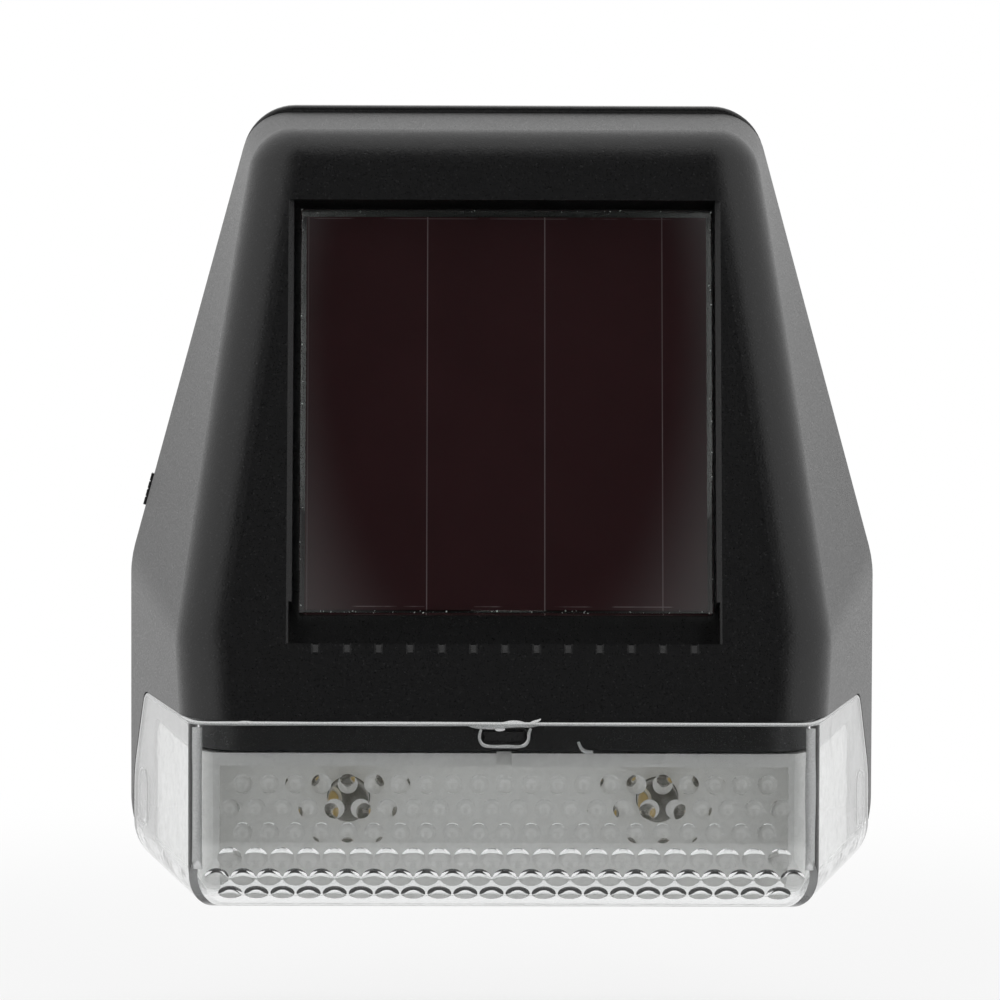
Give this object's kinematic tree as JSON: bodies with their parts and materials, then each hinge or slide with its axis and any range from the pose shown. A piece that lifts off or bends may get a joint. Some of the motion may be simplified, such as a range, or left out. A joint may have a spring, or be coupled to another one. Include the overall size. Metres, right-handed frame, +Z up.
{
  "type": "fence light",
  "caption": "Solar fence light: black drafted housing with a sloping square panel, clear clip-on lens tray over a white reflector and keyholes in its rear cover.",
  "frame": {"origin": "midway between the heads of the two keyholes, on the wall plane", "axes": "+Y into the wall, +Z up, +X to the right seen from the front"},
  "size_m": [0.0922, 0.0392, 0.0962],
  "materials": {
    "black_plastic": "fine spark-eroded texture",
    "seal_rubber": "matt",
    "clear_plastic": "clear polycarbonate, polished",
    "white_plastic": "smooth",
    "zinc_steel": "zinc plated",
    "panel_glass": "clear float glass",
    "cell_film": "dark thin film",
    "foil": "rolled",
    "foam_tape": "closed-cell foam",
    "solder": "bright",
    "board_laminate": "solder mask",
    "epoxy_clear": "clear epoxy",
    "tinned_steel": "tinned",
    "chip_epoxy": "moulded",
    "coil_coat": "lacquered",
    "ceramic_brown": "dipped",
    "nickel_can": "nickel plated",
    "sleeve_film": "shrink film",
    "spring_steel": "nickel plated",
    "red_insulation": "extruded",
    "black_insulation": "extruded"
  },
  "bodies": {
    "housing": {"front_housing": "black_plastic", "rear_cover": "black_plastic", "cover_seal": "seal_rubber", "cover_screws": "zinc_steel", "reflector_tray": "white_plastic", "reflector_screws": "zinc_steel", "led_left": "epoxy_clear", "led_right": "epoxy_clear", "led_leads": "tinned_steel", "circuit_board": "board_laminate", "board_screws": "zinc_steel", "board_solder": "solder", "driver_chip": "chip_epoxy", "chip_pins": "tinned_steel", "choke_coil": "coil_coat", "filter_capacitor": "ceramic_brown", "solar_glass": "panel_glass", "solar_cell_film": "cell_film", "panel_busbars": "foil", "panel_tape": "foam_tape", "panel_pads": "solder", "battery_cell": "nickel_can", "battery_sleeve": "sleeve_film", "positive_contact": "spring_steel", "negative_contact": "spring_steel", "switch_body": "black_plastic", "switch_terminals": "tinned_steel", "panel_wire_positive": "red_insulation", "panel_wire_negative": "black_insulation", "battery_wire_positive": "red_insulation", "battery_wire_negative": "black_insulation", "switch_wire": "red_insulation"},
    "lens": {"lens": "clear_plastic"},
    "switch_knob": {"switch_knob": "black_plastic"}
  },
  "joints": [
    {"name": "lens_release", "type": "slide", "parent": "housing", "child": "lens", "axis": [0, -0.9978, -0.0666], "range_m": [0, 0.036]},
    {"name": "switch_slide", "type": "slide", "parent": "housing", "child": "switch_knob", "axis": [0.263, 0, 0.9648], "range_m": [0, 0.002]}
  ]
}
